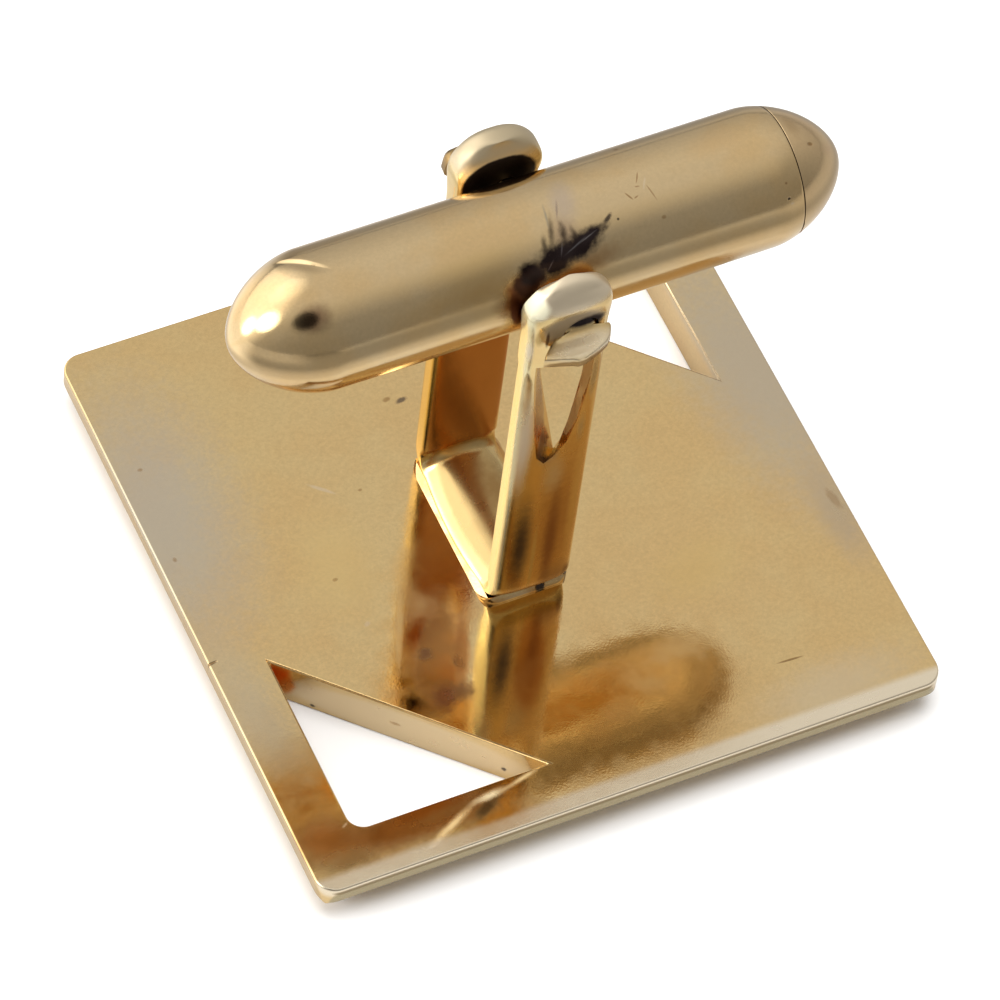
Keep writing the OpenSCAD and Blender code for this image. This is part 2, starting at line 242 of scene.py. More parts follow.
plate_marks = [
    # Greyer towards the left and right edges, paler at the near right, warmer in two patches
    mark((-8.9, 3.4), (3.4, 6.6), (0.62, 0.555, 0.45), 0.75, turn=-6, ragged=0.4, soft=0.9),
    mark((-8.9, -3.8), (1.3, 4.0), (0.66, 0.56, 0.40), 0.6, turn=3, ragged=0.5, soft=0.9),
    mark((9.0, 2.0), (3.0, 7.6), (0.62, 0.53, 0.40), 0.8, turn=4, ragged=0.5, soft=0.9),
    mark((6.5, -8.6), (3.6, 1.4), PALER_GILT, 0.6, turn=4, ragged=0.5, soft=0.9),
    mark((4.6, -3.6), (2.2, 1.4), (0.86, 0.60, 0.24), 0.5, turn=15, ragged=0.6, soft=0.9),
    mark((-4.9, 0.2), (1.7, 2.6), (0.88, 0.62, 0.26), 0.6, turn=-10, ragged=0.6, soft=0.9),
    # Orange tarnish at the near corner; along the near frame of the piercing, brown tarnish
    # deepened by a painted dark reflection, and bright lines of painted reflection
    mark((-8.75, -7.9), (1.5, 1.1), ORANGE_TARNISH, 0.88, turn=-12, ragged=0.4, soft=0.9),
    # Brown tarnish with a painted dark reflection over it, along the near frame
    mark((-6.2, -8.25), (3.6, 0.95), (0.40, 0.14, 0.02), 0.95, turn=1, ragged=0.35, soft=0.75),
    mark((-5.6, -8.0), (1.7, 0.4), (0.36, 0.10, 0.01), 0.8, turn=4, ragged=0.4, soft=0.9),
    mark((-8.3, -8.75), (1.1, 0.5), (0.30, 0.17, 0.06), 0.6, turn=4, ragged=0.7, soft=0.9),
    mark((-5.0, -8.3), (2.2, 0.35), BROWN_TARNISH_AND_SHADE, 0.5, turn=4, ragged=0.5, soft=0.9),
    mark((-8.6, -8.6), (0.9, 0.3), BROWN_TARNISH_AND_SHADE, 0.4, turn=-10, ragged=0.6),
    # A dark line of painted shade beside the bright lines
    mark((-4.2, -8.58), (0.75, 0.24), (0.10, 0.06, 0.02), 0.8, turn=28, ragged=0.7, soft=0.8),
    # Painted reflections: bright lines along the near frame, barely metallic
    mark((-5.3, -8.73), (1.25, 0.19), (1.0, 0.74, 0.36), 0.9, turn=26, ragged=0.35, soft=1.0,
         bare=0.4),
    mark((-3.95, -8.25), (0.85, 0.19), PAINTED_GLINT, 0.95, turn=7, ragged=0.35, soft=1.0, bare=0.4),
    mark((-2.88, -8.07), (0.85, 0.12), (1.0, 0.76, 0.38), 0.9, turn=14, ragged=0.3, soft=1.0,
         bare=0.4),
    # A pale cream band along the near rim, and small spots and scratches
    mark((0, -9.34), (ACROSS, 0.44), (1.0, 0.86, 0.64), 0.95, ragged=0.15, soft=0.6, dull=0.1),
    mark((-8.04, -7.65), (0.16, 0.05), PALE_GILT_AND_HIGHLIGHT, 0.9, turn=30, ragged=0.2),
    mark((-0.91, 4.67), (0.26, 0.12), GRIME_AND_SHADE, 0.85, turn=10, ragged=0.6, bare=0.6),
    mark((-1.3, 4.85), (0.16, 0.10), BROWN_TARNISH_AND_SHADE, 0.6, turn=10, ragged=0.8),
    mark((5.68, -7.32), (0.50, 0.035), BROWN_TARNISH_AND_SHADE, 0.75, turn=-3, ragged=0.15,
         depth=0.01),
    # Smoother in front of the post, where its reflection is painted in: brown, with dark specks
    # over it, and bright streaks
    mark((-0.5, -5.9), (6.8, 4.4), GILT, 0.0, ragged=0.2, soft=0.5, dull=-0.05),
    mark((2.0, -6.3), (3.0, 1.1), (0.97, 0.70, 0.33), 0.6, turn=20, ragged=0.4, soft=0.9),
    mark((9.1, -3.4), (0.9, 2.6), (0.58, 0.46, 0.32), 0.6, ragged=0.4, soft=0.9),
    # Painted reflection of the post, brown, laid along the way the post is mirrored
    mark((-3.55, -3.75), (2.1, 0.75), (0.44, 0.235, 0.075), 0.75, turn=62, ragged=0.35,
         soft=0.4),
    mark((-3.3, -4.9), (0.6, 0.45), (0.10, 0.03, 0.05), 0.6, ragged=1.2, soft=0.8),
    mark((-3.75, -3.4), (0.35, 0.25), (0.10, 0.03, 0.05), 0.5, ragged=1.2, soft=0.8),
    mark((-3.0, -4.0), (0.2, 0.3), (0.12, 0.04, 0.04), 0.45, ragged=1.2, soft=0.8),
    mark((-1.15, -4.7), (2.0, 0.55), (0.62, 0.26, 0.035), 0.65, turn=62, ragged=0.3, soft=0.5),
    mark((-3.1, -1.9), (0.8, 0.6), (0.85, 0.62, 0.30), 0.6, turn=62, ragged=0.5, soft=0.9),
    mark((-3.8, -4.9), (0.7, 0.5), (0.26, 0.10, 0.05), 0.8, turn=62, ragged=0.7, soft=0.8),
    mark((-2.75, -3.65), (1.6, 0.28), (0.44, 0.19, 0.055), 0.7, turn=65, ragged=0.4, soft=0.7),
    # Painted reflections of the post as bright streaks
    mark((-4.12, -2.45), (2.0, 0.15), (1.0, 0.74, 0.34), 0.8, turn=65, ragged=0.2, soft=0.8),
    mark((-2.55, -4.5), (2.2, 0.25), (1.0, 0.72, 0.25), 0.95, turn=65, ragged=0.15, soft=0.6,
         bare=0.1),
    # Nicks and specks
    mark((-9.4, -1.52), (0.22, 0.05), BROWN_TARNISH_AND_SHADE, 0.7, turn=8, ragged=0.1, depth=0.03),
    mark((-4.25, 2.7), (0.55, 0.08), PALE_GILT_AND_HIGHLIGHT, 0.7, turn=-42, ragged=0.4),
    mark((-4.85, -1.9), (0.14, 0.09), PALE_GILT_AND_HIGHLIGHT, 0.7, turn=30, ragged=0.7),
    mark((-5.1, -0.24), (0.10, 0.07), BROWN_TARNISH_AND_SHADE, 0.5, ragged=0.6),
    mark((-3.24, 2.28), (0.08, 0.06), BROWN_TARNISH_AND_SHADE, 0.5, ragged=0.6),
    mark((-8.76, 5.16), (0.10, 0.07), BROWN_TARNISH_AND_SHADE, 0.5, ragged=0.6),
    mark((-9.02, 2.01), (0.08, 0.10), BROWN_TARNISH_AND_SHADE, 0.5, ragged=0.6),
    mark((9.2, -2.9), (0.16, 0.5), BROWN_TARNISH_AND_SHADE, 0.35, turn=10, ragged=0.8),
    # The walls of the plate and of the near piercing
    mark((0, -9.6, 0.65), (ACROSS, 0.24, 0.95), (0.49, 0.40, 0.23), 1.0, ragged=0.05, soft=0.15),
    mark((-9.6, 0, 0.65), (0.24, ACROSS, 0.95), (0.66, 0.47, 0.23), 1.0, ragged=0.05, soft=0.15),
    # A painted dark reflection along the top of the near wall
    mark((0, -9.55, 1.42), (ACROSS, 0.15, 0.12), (0.30, 0.21, 0.10), 0.9, ragged=0.06, soft=0.6),
    # The near piercing's long wall, rougher and painted paler, as painted light
    mark((-5.0, -5.0, 0.72), (4.4, 0.30, 0.84), (0.86, 0.66, 0.39), 0.95, turn=-45, ragged=0.1,
         soft=0.3, dull=0.12),
    mark((-6.95, -3.05, 0.2), (0.12, 0.12, 0.1), GRIME_AND_SHADE, 0.9, ragged=0.6),
    mark((-2.9, -7.05, 0.5), (0.1, 0.1, 0.12), GRIME_AND_SHADE, 0.8, ragged=0.6),
    mark((-5.2, -4.75, 0.8), (0.25, 0.2, 0.1), BROWN_TARNISH_AND_SHADE, 0.5, ragged=0.8),
    mark((-7.72, -2.4, 0.85), (0.55, 0.55, 0.74), (0.80, 0.26, 0.03), 1.0, ragged=0.3,
         soft=0.4),
]
gilt_sheet = gilt_metal("gilt_sheet", GILT, WARM_GILT, 3.2, 0.35, 0.34, (0.08, 0.16),
                        (0.07, 0.0008), plate_marks)
plate = tumbled("face_plate", gilt_sheet, 0.18, 4)

# Post
# One strip of half-hard brass, 2.35 mm wide, folded into a U and polished. Its ears are rounded
# over like a thumb nail, and a V is filed through each leg below the pin to make it springy.
post_low, post_high = (Vector(corner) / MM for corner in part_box("post_bracket"))
POST_X = (post_low.x + post_high.x) / 2
STRIP_HALF = (post_high.x - post_low.x) / 2
LEG_OUT = post_high.y
FOOT = post_low.z
EAR_TOP = post_high.z
STRIP_T = 0.75
FOLD_OUT = 1.05
EAR_BASE = 13.3
EAR_RAMP = 0.22
EAR_PAD = 0.11
EAR_ROUND = 0.55
EAR_LIP = 15.62
LIP_DEPTH = 0.035
NEAR_SPREAD = 0.06
FAR_SPREAD = 0.11
FAR_OUTWARDS = 2.2
FAR_RIGHTWARDS = 1.1
SECTION_POINTS = 88
SOFT_EDGE = 3.2
CRISP_EDGE = 7.0
SHARP_OVER = radians(38)
BASE_CROWN = 0.36
BASE_BELLY = 0.1
BASE_END = 1.85
FILED_DEPTH = 0.34
FILED_SLOPE = 0.75
WINDOW_INSIDE = ((0.14, 8.0), (-0.05, 9.0), (-0.24, 10.0), (-0.43, 11.0), (-0.60, 12.0),
                 (-0.68, 12.8), (-0.70, 13.4), (0.72, 13.4), (0.71, 12.4), (0.67, 11.2),
                 (0.58, 10.2), (0.47, 9.2), (0.32, 8.35))
WINDOW_OUTSIDE = ((-0.55, 8.65), (-0.80, 9.0), (-0.94, 9.9), (-1.05, 10.9), (-1.16, 12.0),
                  (-1.22, 12.8), (-1.23, 13.4), (0.55, 13.4), (0.53, 12.4), (0.45, 11.3),
                  (0.30, 10.3), (0.08, 9.4), (-0.28, 8.85))
PIN_HOLE_R = 0.535
PIVOT_Z = 14.6


def strip_section(half, outer, inner, outer_power, crown=0.0, inner_power=CRISP_EDGE):
    """Cross-section of the strip as (across, inward) points, its inner face domed by crown. A
    higher power makes squarer edges."""
    points = []
    for i in range(SECTION_POINTS):
        c, s = cos(2 * pi * i / SECTION_POINTS), sin(2 * pi * i / SECTION_POINTS)
        power = inner_power if s > 0 else outer_power
        across = half * copysign(abs(c) ** (2 / power), c)
        top = inner - crown * across ** 2
        inward = copysign(abs(s) ** (2 / power), s)
        points.append((across, (outer + top) / 2 + inward * (top - outer) / 2))
    return points


def between(value, low, high):
    """0 below low, 1 above high, and a smooth rise between."""
    t = min(1.0, max(0.0, (value - low) / (high - low)))
    return t * t * (3 - 2 * t)


def leg_rings(side):
    """Rings up one leg from the fold to the top of its ear. The near leg is filed hollow along
    its left edge, and the far ear is spread by a hammer."""
    ear_centre = EAR_TOP - STRIP_HALF
    heights = [FOOT + FOLD_OUT + step for step in (0.5, 1.5, 3, 4.5, 6, 7.5, 9, 10)]
    heights += [EAR_BASE - EAR_RAMP, EAR_BASE - EAR_RAMP / 2, EAR_BASE, 13.7, 14.1, 14.5, 14.9,
                15.15, ear_centre, 15.45, 15.55, EAR_LIP - 0.03, EAR_LIP]
    heights += [ear_centre + STRIP_HALF * sin(radians(a)) for a in range(20, 88, 4)]
    heights.append(EAR_TOP - 0.0012)
    rings = []
    for z in sorted(heights):
        over = max(0.0, z - ear_centre)
        spread = between(z, 14.3, 15.4) * (FAR_SPREAD if side > 0 else NEAR_SPREAD)
        half = sqrt(STRIP_HALF ** 2 - over ** 2) * (1 + spread / STRIP_HALF)
        drop = max(0.0, z - EAR_LIP) / (EAR_TOP - EAR_LIP)
        outer = EAR_ROUND * (1 - sqrt(1 - min(1.0, drop) ** 2))
        outer -= LIP_DEPTH if z >= EAR_LIP else 0
        outer -= FAR_OUTWARDS * spread if side > 0 else 0
        swell = min(1.0, max(0.0, (z - EAR_BASE + EAR_RAMP) / EAR_RAMP))
        inner = STRIP_T + EAR_PAD * swell - 0.25 * between(z, 15.9, EAR_TOP)
        section = strip_section(half, outer, inner, SOFT_EDGE - 0.8 * between(z, 15.2, 15.9),
                                0.0, CRISP_EDGE - 4 * between(z, 15.2, 16.0))
        across = POST_X + (FAR_RIGHTWARDS * spread if side > 0 else 0)
        filed = FILED_DEPTH * between(z, 6.4, 9.2) * (1 - between(z, 12.4, 14.2))
        ring = []
        for u, d in section:
            cut_in = filed - (u + half)
            if side < 0 and cut_in > 0 and d < STRIP_T / 2:
                d = max(d, cut_in * FILED_SLOPE)
            ring.append((across + u, side * (LEG_OUT - d), z))
        rings.append(ring)
    return rings


def fold_rings(side):
    """Rings round one fold, from the domed base up to its flat leg."""
    centre_y, centre_z = LEG_OUT - FOLD_OUT, FOOT + FOLD_OUT
    rings = []
    for a in range(-90, 1, 9):
        way_y, way_z = cos(radians(a)), sin(radians(a))
        crown = BASE_CROWN * between(-a, 0, 80)
        rings.append([(POST_X + u, side * (centre_y + (FOLD_OUT - d) * way_y),
                       centre_z + (FOLD_OUT - d) * way_z)
                      for u, d in strip_section(STRIP_HALF, 0, STRIP_T, SOFT_EDGE, crown)])
    return rings


def loft(rings):
    """A closed skin through rings of points, in millimetres, made by extruding the first ring."""
    shape = bmesh.new()
    count = len(rings[0])
    ring = bmesh.ops.create_circle(shape, segments=count, radius=1)["verts"]
    edges = first = list(shape.edges)
    for vert, point in zip(ring, rings[0]):
        vert.co = point
    for points in rings[1:]:
        grown = bmesh.ops.extrude_edge_only(shape, edges=edges)["geom"]
        new = {g for g in grown if isinstance(g, bmesh.types.BMVert)}
        edges = [g for g in grown if isinstance(g, bmesh.types.BMEdge)
                 and g.verts[0] in new and g.verts[1] in new]
        ring = [next(e.other_vert(v) for e in v.link_edges if e.other_vert(v) in new)
                for v in ring]
        for vert, point in zip(ring, points):
            vert.co = point
    bmesh.ops.edgeloop_fill(shape, edges=edges)
    bmesh.ops.edgeloop_fill(shape, edges=first)
    bmesh.ops.recalc_face_normals(shape, faces=shape.faces)
    return shape


def finished(name, shape, material):
    """Turns a shape in millimetres into a piece in metres, smooth but for its sharp edges."""
    bmesh.ops.scale(shape, vec=(MM, MM, MM), verts=shape.verts)
    mesh = bpy.data.meshes.new(name)
    shape.to_mesh(mesh)
    shape.free()
    piece = bpy.data.objects.new(name, mesh)
    bpy.context.scene.collection.objects.link(piece)
    mesh.shade_smooth()
    mesh.set_sharp_from_angle(angle=SHARP_OVER)
    mesh.materials.append(material)
    return piece


def cut_by(piece, cutters):
    """Cuts shapes out of a piece for good."""
    for shape in cutters:
        tool = finished("cutter", shape, piece.data.materials[0])
        cut = piece.modifiers.new("cut", "BOOLEAN")
        cut.object = tool
        cut.operation = "DIFFERENCE"
        cut.solver = "EXACT"
        bpy.context.view_layer.update()
        drawn = piece.evaluated_get(bpy.context.evaluated_depsgraph_get())
        mesh = bpy.data.meshes.new_from_object(drawn)
        piece.modifiers.clear()
        piece.data = mesh
        bpy.data.objects.remove(tool)
    tidy = bmesh.new()
    tidy.from_mesh(piece.data)
    bmesh.ops.remove_doubles(tidy, verts=tidy.verts, dist=0.0005 * MM)
    bmesh.ops.dissolve_degenerate(tidy, edges=tidy.edges, dist=0.0005 * MM)
    tidy.to_mesh(piece.data)
    tidy.free()
    piece.data.shade_smooth()
    piece.data.set_sharp_from_angle(angle=SHARP_OVER)
    return piece


def window_tool(side):
    """The file that cuts one V window; its left wall flares outwards at half a right angle."""
    rings = []
    for y, out in ((3.3, 1.5), (2.9, 1.0), (2.15, 0.0), (1.6, 0.0)):
        rings.append([(ax + (bx - ax) * out, side * y, az + (bz - az) * out)
                      for (ax, az), (bx, bz) in zip(WINDOW_INSIDE, WINDOW_OUTSIDE)])
    return loft(rings)


def round_tool(radius, reach):
    """A drill along the pin's axis."""
    shape = bmesh.new()
    bmesh.ops.create_cone(shape, cap_ends=True, segments=64, radius1=radius, radius2=radius,
                          depth=reach)
    bmesh.ops.rotate(shape, verts=shape.verts, matrix=Matrix.Rotation(pi / 2, 3, "X"))
    bmesh.ops.translate(shape, verts=shape.verts, vec=(0, 0, PIVOT_Z))
    return shape


base_rings = []
for y in (-1.3, -0.9, -0.45, 0, 0.45, 0.9, 1.3):
    belly = STRIP_HALF + BASE_BELLY * (1 - (y / BASE_END) ** 2)
    base_rings.append([(POST_X + u, y, FOOT + d)
                       for u, d in strip_section(belly, 0, STRIP_T, SOFT_EDGE, BASE_CROWN)])
strip = loft(leg_rings(-1)[::-1] + fold_rings(-1)[::-1] + base_rings + fold_rings(1)
             + leg_rings(1))
post_marks = [
    # Both legs and the base, darker than the edges
    mark((POST_X, -2.9, 6.2), (1.6, 0.22, 7.4), (0.72, 0.37, 0.06), 0.85, ragged=0.15, soft=0.15),
    mark((POST_X, 2.1, 6.4), (1.6, 0.22, 6.6), (0.60, 0.22, 0.03), 0.9, ragged=0.15, soft=0.15),
    mark((-0.3, 2.1, 9.6), (0.9, 0.3, 2.4), (0.25, 0.07, 0.01), 0.6, ragged=0.7, soft=0.9),
    mark((POST_X, 0, 2.3), (1.6, 3.0, 0.5), (0.62, 0.43, 0.18), 0.95, ragged=0.1, soft=0.2,
         dull=0.14),
    mark((0.2, 0.5, 2.3), (0.9, 1.9, 0.4), BROWN_TARNISH_AND_SHADE, 0.7, ragged=0.6, soft=0.9),
    mark((-1.45, 2.4, 8.0), (0.2, 0.7, 7.0), (0.54, 0.38, 0.10), 0.9, ragged=0.1, soft=0.4),
    # The near leg: its filed edge, its left edge face painted bright as painted light, the walls
    # of its window filed dull and painted darker as shade, and painted reflections streaked down
    # its face
    mark((0.1, -2.9, 5.6), (1.05, 0.3, 5.2), (0.46, 0.19, 0.025), 0.85, ragged=0.5, soft=0.9),
    mark((-1.2, -2.8, 9.8), (0.36, 0.4, 3.6), (0.70, 0.58, 0.42), 0.85, ragged=0.15, soft=0.9,
         dull=0.2, bare=0.3),
    # Painted light: the left edge face, pale and barely metallic
    mark((-1.55, -3.2, 8.0), (0.30, 2.5, ACROSS), (1.0, 0.92, 0.58), 0.95, ragged=0.05, soft=0.5,
         bare=0.3),
    # The window's walls, filed dull and painted darker as shade
    mark((-0.70, -2.5, 10.8), (0.50, 0.42, 3.0), (0.47, 0.32, 0.24), 0.8, ragged=0.2, soft=0.4,
         dull=0.15),
    mark((-0.42, -2.6, 9.0), (0.5, 0.5, 0.9), (0.26, 0.16, 0.10), 0.85, ragged=0.3, soft=0.6,
         dull=0.15, bare=0.2),
    mark((0.62, -2.5, 12.2), (0.24, 0.45, 2.0), (0.46, 0.29, 0.10), 1.0, ragged=0.1, soft=0.3,
         dull=0.2, bare=0.2),
    mark((0.45, -2.5, 9.8), (0.30, 0.45, 1.6), (0.44, 0.27, 0.09), 1.0, ragged=0.1, soft=0.3,
         dull=0.2, bare=0.2),
    # Painted reflections streaked down the face, darkest at the left
    mark((-0.88, -2.85, 4.7), (0.46, 0.3, 3.4), (0.05, 0.022, 0.008), 0.95, ragged=0.3, soft=0.9),
    mark((-0.45, -2.9, 3.8), (0.10, 0.3, 2.2), (0.66, 0.42, 0.12), 0.8, ragged=0.5, soft=0.8),
    mark((0.02, -2.9, 4.6), (0.30, 0.3, 3.8), (0.26, 0.08, 0.008), 0.75, ragged=0.35,
         soft=0.9),
    mark((0.66, -2.9, 6.2), (0.30, 0.3, 4.2), (0.72, 0.42, 0.10), 0.85, ragged=0.35, soft=0.9),
    mark((-0.2, -2.9, 7.9), (0.5, 0.2, 1.3), (0.60, 0.42, 0.20), 0.6, ragged=0.6, soft=0.9),
    # The ears: pale, dull caps with painted highlights at their left ends, a painted reflection
    # of the paddle on the near ear, and painted shade inside the far ear, beside the near paddle
    # and in the hole above the pin
    mark((POST_X, -2.5, 16.1), (2.0, 0.9, 0.75), (0.80, 0.67, 0.48), 0.95, ragged=0.2, soft=0.4,
         dull=0.24, bare=0.2),
    # Painted highlight at the left end of the near cap
    mark((-1.25, -2.5, 15.85), (0.42, 0.6, 0.5), (1.0, 0.93, 0.66), 1.0, ragged=0.2, soft=0.4,
         bare=0.8),
    mark((POST_X, 2.6, 16.1), (2.0, 0.9, 0.85), (0.60, 0.49, 0.32), 0.95, ragged=0.2, soft=0.4,
         dull=0.26, bare=0.15),
    # Painted highlights at the far ear's left and down the near ear's left edge
    mark((-1.05, 2.55, 15.5), (0.42, 0.7, 0.6), (0.95, 0.86, 0.64), 0.9, ragged=0.3, soft=0.7,
         bare=0.4),
    mark((-1.42, -2.85, 14.1), (0.17, 0.3, 0.75), (0.92, 0.80, 0.62), 0.9, ragged=0.3, soft=0.6,
         dull=0.2, bare=0.5),
    mark((POST_X, -2.9, 14.9), (1.3, 0.15, 0.75), (0.42, 0.33, 0.23), 0.9, ragged=0.2, soft=0.4,
         dull=0.25, bare=0.3),
    # Painted reflection of the paddle's side; painted shade beside it and in the hole above
    mark((-1.22, -2.9, 14.75), (0.20, 0.15, 0.55), (0.50, 0.34, 0.12), 0.8, ragged=0.2, soft=0.4),
    mark((-0.97, -2.9, 14.65), (0.07, 0.2, 0.45), (0.06, 0.025, 0.01), 0.9, ragged=0.2, soft=0.6),
    mark((0.15, -2.75, 14.95), (0.66, 0.35, 0.36), (0.03, 0.012, 0.008), 1.0, ragged=0.2,
         soft=0.4, dull=0.3, bare=0.3),
    # Painted shade on the far ear's inner face
    mark((POST_X, 2.0, 15.2), (1.35, 0.16, 1.15), (0.012, 0.005, 0.003), 1.0, ragged=0.1,
         soft=0.15, dull=0.3, bare=0.2),
    # Painted dark reflection at the foot of the near leg
    mark((0.35, -2.9, 2.6), (0.7, 0.3, 1.0), BROWN_TARNISH_AND_SHADE, 0.6, ragged=0.6, soft=0.9),
    mark((0.75, -2.9, 2.3), (0.25, 0.4, 0.9), (0.10, 0.03, 0.01), 0.7, ragged=0.5, soft=0.8),
]
bright_gilt = gilt_metal("bright_gilt_strip", (0.88, 0.66, 0.30), WARM_GILT, 1.6, 0.35, 0.14,
                         (0.09, 0.16), (0.06, 0.0009), post_marks)
post = cut_by(finished("post", strip, bright_gilt),
              [window_tool(-1), window_tool(1), round_tool(PIN_HOLE_R, 8)])
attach(post, "face_and_post")
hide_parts("post_bracket")

# Solder
# Hard solder run in the notch under both folds and along the strip's edges. It flowed thin and
# bright and froze with small dark pits.
solder_marks = [
    mark((0.12, -2.64, 1.75), (0.17, 0.14, 0.2), GRIME_AND_SHADE, 0.95, ragged=0.5, soft=0.3, bare=0.5,
         depth=0.05),
    mark((0.95, -2.5, 1.72), (0.14, 0.12, 0.2), GRIME_AND_SHADE, 0.8, ragged=0.5, soft=0.4, bare=0.4,
         depth=0.04),
    # A painted highlight along the seam
    mark((-0.6, -2.66, 1.7), (0.6, 0.1, 0.2), PALE_GILT_AND_HIGHLIGHT, 0.6, ragged=0.5),
]
solder_metal = gilt_metal("hard_solder", (0.82, 0.58, 0.27), ORANGE_TARNISH, 0.8, 0.5, 0.2,
                          (0.1, 0.2), (0.06, 0.002), solder_marks)
solder = tumbled("solder_seam", solder_metal, 0.05, 2)

# Pivot pin
# A gilt brass wire through the holes of both ears, squared in the middle, where the spring bears
# on it. Both its ends are hammered into rough paddles that keep it in.
pin_marks = [
    # Painted shade in the ear's hole above the near paddle
    mark((0.15, -2.72, 14.98), (0.8, 0.3, 0.36), GRIME_AND_SHADE, 1.0, ragged=0.2, soft=0.3, bare=0.3),
    mark((-1.2, 3.3, 14.6), (0.8, 0.9, 0.9), (0.35, 0.22, 0.09), 0.95, ragged=0.3, dull=0.12),
    mark((0, -3.55, 14.27), (1.6, 0.45, 0.19), (0.36, 0.22, 0.08), 1.0, ragged=0.2, soft=0.3,
         dull=0.1),
    # A painted highlight on the wire at the paddle's root
    mark((-0.5, -2.95, 15.0), (0.08, 0.1, 0.2), PALE_GILT_AND_HIGHLIGHT, 0.9, ragged=0.4),
    mark((0, -3.3, 14.5), (1.6, 0.55, 0.2), (0.78, 0.66, 0.47), 0.8, ragged=0.3, dull=0.1,
         bare=0.15),
]
pin_metal = gilt_metal("hammered_wire", (0.78, 0.58, 0.28), WARM_GILT, 0.7, 0.4, 0.2,
                       (0.14, 0.22), (0.08, 0.002), pin_marks)


def pin_ring(y, left, right, low, high, lean, power):
    """A ring round the pin: its sides and edges, leaning by degrees about its own middle."""
    middle_x, middle_z = (left + right) / 2, (low + high) / 2
    ring = []
    for i in range(SECTION_POINTS // 2):
        a = 4 * pi * i / SECTION_POINTS
        u = (right - left) / 2 * copysign(abs(cos(a)) ** (2 / power), cos(a))
        v = (high - low) / 2 * copysign(abs(sin(a)) ** (2 / power), sin(a))
        c, s = cos(radians(lean)), sin(radians(lean))
        ring.append((middle_x + u * c + v * s, y, middle_z - u * s + v * c))
    return ring


WIRE_R = 0.475
SQUARED = 0.37


def wire(y, half, power):
    """The ring of the wire at y, round or squared."""
    return (y, -half, half, PIVOT_Z - half, PIVOT_Z + half, 0, power)


# Along y: left, right, low, high, lean and squareness
near_paddle = [(y, left, right, 14.18, high, 0, power) for y, left, right, high, power in (
    (-3.66, -0.42, -0.20, 14.50, 6),
    (-3.6, -0.54, 0.04, 14.53, 8),
    (-3.5, -0.84, 0.30, 14.54, 9),
    (-3.42, -1.12, 0.47, 14.54, 9),
    (-3.36, -1.28, 0.58, 14.55, 9),
    (-3.22, -1.18, 0.72, 14.56, 9),
    (-3.08, -1.03, 0.80, 14.58, 8),
    (-2.96, -0.90, 0.85, 14.61, 7),
    (-2.9, -0.80, 0.84, 14.65, 6),
    (-2.84, -0.50, 0.52, 14.70, 3))]
middle = [wire(-2.7, WIRE_R, 2), wire(-1.6, WIRE_R, 2), wire(-1.5, SQUARED, 5),
          wire(1.5, SQUARED, 5), wire(1.6, WIRE_R, 2), wire(2.7, WIRE_R, 2)]
far_paddle = [
    (2.82, -0.60, 0.50, 14.14, 15.06, 8, 2.2),
    (2.95, -1.08, 0.60, 14.15, 15.05, 10, 4),
    (3.15, -1.27, 0.60, 14.20, 15.06, 10, 4),
    (3.35, -1.27, 0.40, 14.26, 15.06, 10, 3.6),
    (3.50, -1.16, 0.10, 14.33, 15.03, 10, 3.2),
    (3.58, -0.95, -0.2, 14.42, 14.96, 10, 2.6)]
pin = finished("pin", loft([pin_ring(*row) for row in near_paddle + middle + far_paddle]),
               pin_metal)
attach(pin, "face_and_post")
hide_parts("pivot_pin")

# Torpedo shell
# The barrel of the toggle: gilt brass tube drawn to a closed dome at one end. It shows wear and
# is blackened beside the ears, in part by a painted dark reflection of the near ear, and has a
# crescent dent on the shoulder of the dome.
BARREL_R = 1.95
BORE_R = 1.63
STRAIGHT = 6.4
TIP = 8.9
OGIVE_POWER = 1.75
SEAM_X = 7.1
MOUTH_X = 5.98
DOME_T = 0.5
SKIN_R = 1.3
MOUTH_WALL = 0.36
AROUND = 256
DENT_FROM = (-7.2, 1.38)
DENT_TO = (-5.93, 0.02)
DENT_DEPTH = 0.06
DENT_WIDTH = 0.62
DENT_LIP = 0.035
DENT_BOW = 0.03
DENT_ZONE = (-7.5, -5.7)
DENT_STEP = 0.05
TOGGLE_HOLE_R = 0.515


def ogive(radius, share):
    """Radius of the pointed end at a share of its length."""
    return radius * max(0.0, 1 - share ** OGIVE_POWER) ** (1 / OGIVE_POWER)


def spun(profile, segments):
    """A closed skin spun round the toggle's axis from (place along X, radius) points."""
    shape = bmesh.new()
    verts = [shape.verts.new((x, 0, r)) for x, r in profile]
    edges = [shape.edges.new(pair) for pair in zip(verts, verts[1:])]
    bmesh.ops.spin(shape, geom=verts + edges, cent=(0, 0, 0), axis=(1, 0, 0), angle=2 * pi,
                   steps=segments, use_merge=True)
    bmesh.ops.remove_doubles(shape, verts=shape.verts, dist=0.0002)
    bmesh.ops.recalc_face_normals(shape, faces=shape.faces)
    bmesh.ops.translate(shape, verts=shape.verts, vec=(0, 0, PIVOT_Z))
    return shape


def dent_depth(x, arc):
    """How far the crescent dent is pressed in at a place on the unrolled barrel: a steep wall
    at its upper edge, then a slow rise."""
    ax, ay = DENT_FROM
    bx, by = DENT_TO
    length = hypot(bx - ax, by - ay)
    along = ((x - ax) * (bx - ax) + (arc - ay) * (by - ay)) / length ** 2
    aside = ((x - ax) * (by - ay) - (arc - ay) * (bx - ax)) / length
    if not 0 < along < 1:
        return 0.0
    swell = 4 * along * (1 - along)
    q = aside - DENT_BOW * swell
    if q < 0:
        return DENT_DEPTH * swell * max(0.0, 1 + q / DENT_LIP)
    return DENT_DEPTH * swell * max(0.0, 1 - q / (DENT_WIDTH * swell + 0.001)) ** 1.3


